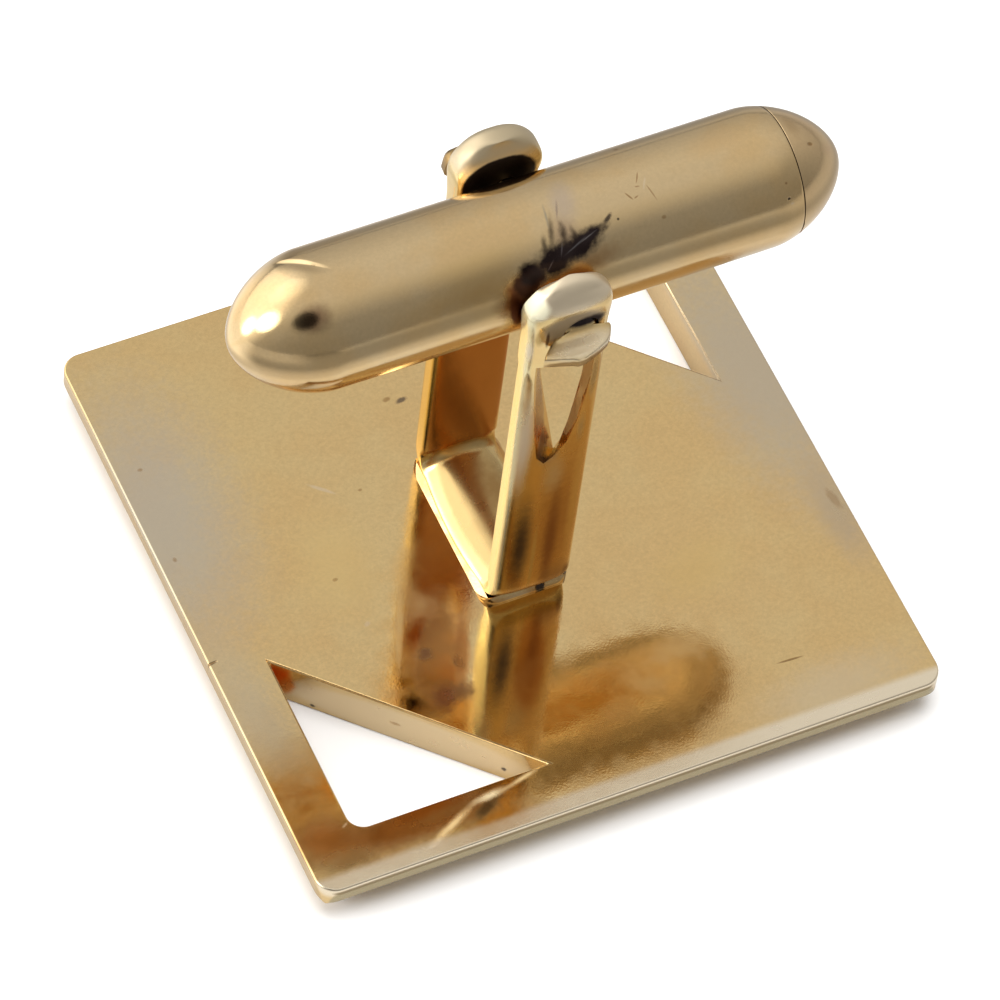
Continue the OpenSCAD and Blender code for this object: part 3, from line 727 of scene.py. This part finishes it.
dome = [1 - (1 - i / 22) ** 2 for i in range(23)]
outside = [(-STRAIGHT - (TIP - STRAIGHT) * s, ogive(BARREL_R, s)) for s in reversed(dome)]
outside = [point for point in outside if point[0] < DENT_ZONE[0]]
for step in range(1, 34):
    x = DENT_ZONE[0] + DENT_STEP * step
    outside.append((x, ogive(BARREL_R, max(0.0, (-x - STRAIGHT) / (TIP - STRAIGHT)))))
outside += [(x, BARREL_R) for x in (-5.6, -5, -4, -3, -2, -1, 0, 1, 2, 3, 4, 5, 6, STRAIGHT)]
outside += [(STRAIGHT + d, ogive(BARREL_R, d / (TIP - STRAIGHT)))
            for d in (0.15, 0.3, 0.45, 0.6, 0.655)]
rim_r = ogive(BARREL_R, (SEAM_X - STRAIGHT) / (TIP - STRAIGHT))
mouth_r = rim_r - MOUTH_WALL
mouth = [(SEAM_X - 0.022, rim_r - 0.004), (SEAM_X - 0.008, rim_r - 0.016),
         (SEAM_X - 0.002, rim_r - 0.035), (SEAM_X - 0.002, mouth_r), (MOUTH_X, mouth_r),
         (MOUTH_X, BORE_R)]
inside = [(-STRAIGHT - (TIP - DOME_T - STRAIGHT) * s, ogive(BORE_R, s)) for s in dome[::2]]
shell_shape = spun(outside + mouth + inside, AROUND)
for vert in shell_shape.verts:
    y, z = vert.co.y, vert.co.z - PIVOT_Z
    radius = hypot(y, z)
    if DENT_ZONE[0] < vert.co.x < DENT_ZONE[1] and z > 0 and radius > SKIN_R:
        depth = dent_depth(vert.co.x, atan2(y, z) * BARREL_R)
        vert.co.y -= depth * y / radius
        vert.co.z -= depth * z / radius

# Unrolled: the toggle's surface laid flat, as (along, round, 0) in millimetres
unrolled, given, result = shader_group("unrolled", [("Vector", "Vector")], "Flat", "Vector")
tree = unrolled
parts = shader_node(tree, "SeparateXYZ", {0: given["Vector"]}).outputs
above = maths(tree, "SUBTRACT", parts["Z"], PIVOT_Z)
turned = maths(tree, "MULTIPLY", maths(tree, "ARCTAN2", parts["Y"], above), BARREL_R)
flat = shader_node(tree, "CombineXYZ", {0: parts["X"], 1: turned, 2: 0.0}).outputs[0]
tree.links.new(flat, result["Flat"])

PITCH = (0.022, 0.013, 0.012)
ALL_ROUND = 99


def toggle_mark(x, round_by, half_x, half_round, tone, share=0.8, turn=0.0, **look):
    """A mark on the unrolled toggle: along it, and round it from the top, near side negative."""
    return mark((x, round_by, 0), (half_x, half_round, 9), tone, share, turn, **look)


shell_marks = [
    # Broad washes, warmer along the near side, and underneath a painted warm reflection
    # of the plate
    toggle_mark(0, -3.4, 9, 0.45, (0.66, 0.42, 0.17), 0.75, ragged=0.3, soft=0.9),
    toggle_mark(0, -0.98, ACROSS, 0.42, (0.76, 0.54, 0.26), 0.45, ragged=0.3, soft=0.9, dull=0),
    toggle_mark(-2.3, -1.1, 1.9, 0.6, (0.76, 0.52, 0.22), 0.6, 4, ragged=0.4, soft=0.9, dull=0),
    toggle_mark(-0.8, -2.6, 4.2, 0.95, (0.72, 0.47, 0.17), 0.55, ragged=0.4, soft=1.0),
    # The black smudge beside the near ear, with its streaks and halo, and the near ear's
    # reflection painted in dark
    toggle_mark(0.55, -0.10, 0.55, 1.0, (0.62, 0.50, 0.40), 0.55, -14, ragged=0.5, soft=0.9),
    toggle_mark(0.25, -1.0, 0.6, 0.7, (0.42, 0.28, 0.20), 0.5, 10, ragged=0.6, soft=0.9),
    toggle_mark(0.7, -1.95, 1.5, 0.5, (0.42, 0.20, 0.06), 0.7, 12, ragged=0.5, soft=1.0),
    # Painted dark reflection of the near ear, in blacks and browns
    toggle_mark(-1.45, -2.5, 0.75, 0.9, (0.16, 0.05, 0.01), 0.95, 35, ragged=0.4, soft=0.8),
    toggle_mark(-1.3, -2.0, 0.42, 0.55, (0.10, 0.04, 0.015), 0.9, 30, ragged=0.5, soft=0.9, dull=0.2,
         bare=0.3),
    toggle_mark(-2.4, -1.75, 2.2, 0.7, (0.62, 0.36, 0.10), 0.6, 4, ragged=0.4, soft=1.0),
    toggle_mark(-0.9, -1.95, 0.62, 0.42, (0.06, 0.025, 0.015), 1.0, 38, ragged=0.6, soft=0.6, bare=0.2),
    toggle_mark(-1.48, -2.15, 0.34, 0.60, (0.15, 0.055, 0.02), 0.95, 24, ragged=0.4, soft=0.8),
    toggle_mark(-1.45, -2.75, 0.24, 0.80, (0.08, 0.022, 0.008), 1.0, 6, ragged=0.3, soft=0.5),
    toggle_mark(-1.18, -2.02, 0.34, 0.55, (0.05, 0.018, 0.008), 1.0, 30, ragged=0.4, soft=0.5),
    toggle_mark(-0.95, -1.72, 0.42, 0.44, PITCH, 1.0, 35, ragged=0.5, soft=0.5),
    toggle_mark(-0.2, -1.58, 0.85, 0.58, PITCH, 1.0, 14, ragged=0.7, soft=0.6, dull=0.1, bare=0.15),
    toggle_mark(0.55, -1.40, 0.9, 0.46, PITCH, 1.0, 14, ragged=0.7, soft=0.6, dull=0.1, bare=0.15),
    toggle_mark(0.98, -1.18, 0.70, 0.24, PITCH, 1.0, 14, ragged=0.8, soft=0.7, dull=0.1, bare=0.15),
    toggle_mark(1.52, -0.93, 0.24, 0.09, PITCH, 0.9, 40, ragged=0.8, soft=0.7, bare=0.2),
    toggle_mark(1.79, -1.03, 0.05, 0.05, PITCH, 0.8, ragged=0.3),
    toggle_mark(-0.38, -1.1, 0.12, 0.42, PITCH, 0.7, -8, ragged=0.8, soft=1.0),
    toggle_mark(-0.08, -0.8, 0.13, 0.66, PITCH, 0.7, -16, ragged=0.7, soft=1.0),
    toggle_mark(0.22, -0.95, 0.16, 0.5, PITCH, 0.8, -6, ragged=0.7, soft=1.0),
    toggle_mark(0.50, -1.05, 0.12, 0.34, PITCH, 0.7, 6, ragged=0.8, soft=1.0),
    toggle_mark(-0.05, -0.35, 0.06, 0.5, (0.40, 0.36, 0.26), 0.7, -10, ragged=0.6, soft=1.0),
    toggle_mark(0.30, -0.28, 0.05, 0.4, (0.30, 0.22, 0.18), 0.6, -22, ragged=0.6, soft=1.0),
    toggle_mark(0.45, -1.36, 0.50, 0.035, (0.16, 0.15, 0.15), 0.7, 24, ragged=0.5, soft=1.0),
    toggle_mark(0.82, -1.24, 0.42, 0.03, (0.20, 0.18, 0.17), 0.7, 20, ragged=0.5, soft=1.0),
    toggle_mark(0.05, -1.34, 0.035, 0.26, (0.15, 0.13, 0.13), 0.6, -20, ragged=0.6, soft=1.0),
    toggle_mark(-0.35, -1.66, 0.26, 0.035, (0.13, 0.10, 0.10), 0.6, 48, ragged=0.6, soft=1.0),
    # Fine scratches, pits and stains; a painted dark reflection on the dome, and painted shade in
    # the dent
    toggle_mark(2.3, -0.55, 0.035, 0.17, BROWN_TARNISH_AND_SHADE, 0.7, 30, ragged=0.9),
    toggle_mark(2.48, -0.62, 0.10, 0.03, BROWN_TARNISH_AND_SHADE, 0.6, 20, ragged=0.9),
    toggle_mark(2.72, -0.1, 0.03, 0.24, BROWN_TARNISH_AND_SHADE, 0.6, -30, ragged=0.9),
    toggle_mark(2.62, -0.35, 0.09, 0.03, BROWN_TARNISH_AND_SHADE, 0.55, -10, ragged=0.9),
    toggle_mark(2.92, -0.6, 0.03, 0.3, BROWN_TARNISH_AND_SHADE, 0.5, 14, ragged=0.9),
    toggle_mark(2.85, -0.3, 0.04, 0.25, PALE_GILT_AND_HIGHLIGHT, 0.7, -30, ragged=0.9),
    toggle_mark(3.03, -1.35, 0.09, 0.07, BROWN_TARNISH_AND_SHADE, 0.5, ragged=0.4),
    toggle_mark(2.75, 1.3, 0.10, 0.12, BROWN_TARNISH_AND_SHADE, 0.6, ragged=0.6),
    toggle_mark(6.6, -1.95, 0.07, 0.06, PITCH, 0.9, depth=0.03, ragged=0.3),
    toggle_mark(6.68, -2.12, 0.07, 0.05, PALE_GILT_AND_HIGHLIGHT, 0.8, ragged=0.2),
    toggle_mark(6.6, -1.5, 0.05, 0.05, BROWN_TARNISH_AND_SHADE, 0.6, ragged=0.3),
    toggle_mark(5.2, 0.2, 1.3, 0.7, (0.80, 0.50, 0.20), 0.4, ragged=0.4, soft=1.0),
    # Painted dark reflection on the near side of the dome
    toggle_mark(-6.95, -1.08, 0.62, 0.5, (0.38, 0.20, 0.11), 0.75, 10, ragged=0.5, soft=0.9, dull=0.01),
    # Painted shade on the floor of the dent
    toggle_mark(-6.7, 0.5, 0.75, 0.2, (0.48, 0.34, 0.18), 0.5, -47, ragged=0.1, soft=0.9),
    toggle_mark(SEAM_X, 0, 0.018, ALL_ROUND, PITCH, 0.9, ragged=0.0, soft=0.5),
]
satin_gilt = gilt_metal("satin_gilt_tube", (0.79, 0.585, 0.32), (0.80, 0.53, 0.23), 2.2, 0.6,
                        0.2, (0.10, 0.15), (0.06, 0.0009), shell_marks, unrolled)
shell = cut_by(finished("shell", shell_shape, satin_gilt), [round_tool(TOGGLE_HOLE_R, 5)])
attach(shell, "toggle")
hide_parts("torpedo_shell")

# Nose cap
# A turned gilt brass point whose spigot is pressed into the mouth of the barrel; a hairline
# groove, dark with old polish, shows where they meet.
ROSY_GILT = (0.78, 0.54, 0.31)
SPIGOT_LENGTH = 1.1
SPIGOT_GAP = 0.02
cap_tips = [1 - (1 - i / 26) ** 2 * (TIP - SEAM_X) / (TIP - STRAIGHT) for i in range(27)]
nose = [(STRAIGHT + (TIP - STRAIGHT) * s, ogive(BARREL_R, s)) for s in cap_tips[1:]]
spigot_r = mouth_r - SPIGOT_GAP
spigot = [(SEAM_X - SPIGOT_LENGTH, 0), (SEAM_X - SPIGOT_LENGTH, spigot_r),
          (SEAM_X + 0.002, spigot_r)]
shoulder = [(SEAM_X + 0.002, rim_r - 0.035), (SEAM_X + 0.008, rim_r - 0.016),
            (SEAM_X + 0.022, rim_r - 0.008)]
cap_marks = [
    toggle_mark(7.72, -0.59, 0.12, 0.10, BROWN_TARNISH_AND_SHADE, 0.7, ragged=0.8, depth=0.01),
    toggle_mark(8.3, -0.9, 0.3, 0.5, ROSY_GILT, 0.6, ragged=0.6, soft=0.9),
    toggle_mark(8.45, 0.3, 0.2, 0.8, PALE_GILT_AND_HIGHLIGHT, 0.5, ragged=0.5, soft=0.9),
    toggle_mark(7.4, 0.2, 0.3, 0.7, BROWN_TARNISH_AND_SHADE, 0.25, ragged=0.6, soft=0.9),
    toggle_mark(SEAM_X, 0, 0.018, ALL_ROUND, PITCH, 0.9, ragged=0.0, soft=0.5),
]
cap_gilt = gilt_metal("turned_gilt_cap", (0.78, 0.56, 0.30), (0.76, 0.52, 0.27), 1.4, 0.5, 0.16,
                      (0.11, 0.17), (0.06, 0.001), cap_marks, unrolled)
cap = finished("nose_point", spun(spigot + shoulder + nose, 160), cap_gilt)
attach(cap, "toggle")
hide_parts("nose_cap")

# Spring
# A hairpin of flat spring steel, bowed and pushed into the barrel before the cap goes on. Its two
# leaves bear on the squared middle of the pin and hold the toggle open or shut.
spring_steel = gilt_metal("spring_steel", (0.52, 0.52, 0.53), (0.42, 0.38, 0.34), 0.9, 0.4, 0.1,
                          (0.22, 0.3), (0.05, 0.001))
spring = tumbled("detent_spring", spring_steel, 0.02, 2)

# Paper
# The white paper that the link lies on. What the metal mirrors of it is not what the eye sees:
# a little brighter close round the link, darker a few centimetres away, and painted brighter
# towards the window at the left, where far off it glows though it is no lamp.
bpy.ops.mesh.primitive_plane_add(size=4)
floor = bpy.context.object
floor.name = "floor"
paper = bpy.data.materials.new("white_paper")
paper.use_nodes = True
tree = paper.node_tree
tree.nodes.clear()
place = shader_node(tree, "TexCoord").outputs["Object"]
heading = vector_maths(tree, "NORMALIZE", place).outputs[0]
distance = vector_maths(tree, "LENGTH", place).outputs["Value"]
across = shader_node(tree, "SeparateXYZ", {0: place}).outputs["X"]


def side_of_paper(direction, none, full, near, far):
    """1 on one side of the link and far enough from it, 0 elsewhere, with a smooth rise."""
    aligned = vector_maths(tree, "DOT_PRODUCT", heading, direction).outputs["Value"]
    return maths(tree, "MULTIPLY", rescaled(tree, aligned, none, full),
                 rescaled(tree, distance, near, far))


# Seen in the metal only: painted brighter on the window side, and glowing far off at the left
window_side = side_of_paper((-0.8, 0.6, 0), 0.55, 0.9, 0.016, 0.03)
far_left = side_of_paper((-1, 0, 0), 0.3, 0.7, 0.03, 0.07)
mirrored = shader_node(tree, "Mix", {
    0: rescaled(tree, across, 0.014, 0.05),
    2: rescaled(tree, distance, 0.015, 0.034, 0.46, 0.20), 3: 0.34}).outputs[0]
mirrored = shader_node(tree, "Mix", {0: window_side, 2: mirrored, 3: 0.85}).outputs[0]
mirrored = maths(tree, "ADD", mirrored, rescaled(tree, distance, 0.0135, 0.018, 0.12, 0.0))
seen = shader_node(tree, "LightPath").outputs["Is Camera Ray"]
tone = shader_node(tree, "Mix", {0: seen, 2: mirrored, 3: 0.97}).outputs[0]
white = shader_node(tree, "BsdfDiffuse", {"Color": tone}).outputs[0]
glow = shader_node(tree, "Mix", {0: window_side, 2: 0.55, 3: 1.2}).outputs[0]
painted_glow = shader_node(tree, "Emission", {"Strength": glow}).outputs[0]
unseen = maths(tree, "MULTIPLY", far_left, maths(tree, "SUBTRACT", 1.0, seen))
surface = shader_node(tree, "MixShader", {0: unseen, 1: white, 2: painted_glow}).outputs[0]
shader_node(tree, "OutputMaterial", {"Surface": surface})
floor.data.materials.append(paper)

# Studio
# A soft, pale room with a window at the left and something dark high up in front, all mirrored in
# the gilding, and a round lamp overhead that lights the paper and the dull places.
ROOM = 1.3
world = bpy.data.worlds.new("studio")
bpy.context.scene.world = world
world.use_nodes = True
tree = world.node_tree
tree.nodes.clear()
way = shader_node(tree, "TexCoord").outputs["Generated"]


def lobe(azimuth, elevation, inner, outer):
    """1 within inner degrees of a direction, falling to 0 at outer degrees."""
    a, e = radians(azimuth), radians(elevation)
    dot = vector_maths(tree, "DOT_PRODUCT", way, (cos(a) * cos(e), sin(a) * cos(e), sin(e)))
    return rescaled(tree, dot.outputs["Value"], cos(radians(outer)), cos(radians(inner)))


def ramp(value, stops):
    """A grey level that follows (place, level) stops."""
    node = shader_node(tree, "ValToRGB", {0: value})
    while len(node.color_ramp.elements) < len(stops):
        node.color_ramp.elements.new(0.5)
    for element, (place, level) in zip(node.color_ramp.elements, stops):
        element.position = place
        element.color = (level, level, level, 1)
    return node.outputs[0]


height = shader_node(tree, "SeparateXYZ", {0: way}).outputs["Z"]
front = ramp(height, [(0, .25), (.26, .26), (.45, .28), (.62, .29), (.75, .37), (.857, .47),
                      (.927, .57), (1, .64)])
back = ramp(height, [(0, .45), (.14, .47), (.5, .57), (.8, .66), (1, .64)])
level = shader_node(tree, "Mix", {0: lobe(-80, 0, 30, 110), 2: back, 3: front}).outputs[0]
level = maths(tree, "MULTIPLY", level, ROOM)
window_panes = [((138, 16, 18, 58), 1.4), ((122, 53, 5, 22), 0.4), ((177, 34, 11, 17), 3.5),
                ((161, 12, 9, 15), 3.0)]
dark_things = [((-128, 53, 9, 17), 0.95), ((-112, 56, 8, 30), 0.3)]
for way_and_width, brightness in window_panes:
    level = maths(tree, "MULTIPLY_ADD", lobe(*way_and_width), brightness, level)
for way_and_width, share in dark_things:
    dimmed = maths(tree, "MULTIPLY_ADD", lobe(*way_and_width), -share, 1.0)
    level = maths(tree, "MULTIPLY", level, dimmed)
seen = shader_node(tree, "LightPath").outputs["Is Camera Ray"]
final = shader_node(tree, "Mix", {0: seen, 2: level, 3: 1.0}).outputs[0]
background = shader_node(tree, "Background", {"Strength": final})
shader_node(tree, "OutputWorld", {"Surface": background.outputs[0]})
lamp = bpy.data.objects.new("overhead_lamp", bpy.data.lights.new("overhead_lamp", "AREA"))
bpy.context.scene.collection.objects.link(lamp)
lamp.location = (0, 0, 0.3)
lamp.data.shape = "DISK"
lamp.data.size = 0.26
lamp.data.energy = 0.85
lamp.visible_glossy = False
lamp.visible_camera = False

# Camera
# Looks down on the link from the left front, a little turned, as in the photograph. Its place is
# in millimetres from the middle of the plate's underside, its lens in widths of the sensor.
RIGHT_BY, UP_BY, DISTANCE = 0.197, 1.388, 187.714
SENSOR, LENS_IN_SENSORS = 36, 6.608784
azimuth, elevation, roll = radians(-31.064), radians(55.981), radians(8.088)
back_way = Vector((sin(azimuth) * cos(elevation), -cos(azimuth) * cos(elevation), sin(elevation)))
level_right = Vector((0, 0, 1)).cross(back_way).normalized()
level_up = back_way.cross(level_right)
right_way = cos(roll) * level_right + sin(roll) * level_up
up_way = -sin(roll) * level_right + cos(roll) * level_up
camera = bpy.data.objects.new("camera", bpy.data.cameras.new("camera"))
bpy.context.scene.collection.objects.link(camera)
camera_place = (right_way * RIGHT_BY + up_way * UP_BY + back_way * DISTANCE) * MM
camera.matrix_world = (Matrix.Translation(camera_place)
                       @ Matrix((right_way, up_way, back_way)).transposed().to_4x4())
camera.data.sensor_width = SENSOR
camera.data.lens = SENSOR * LENS_IN_SENSORS
camera.data.clip_start = 0.01
camera.data.clip_end = 100
bpy.context.scene.camera = camera
bpy.context.scene.view_settings.view_transform = "Standard"
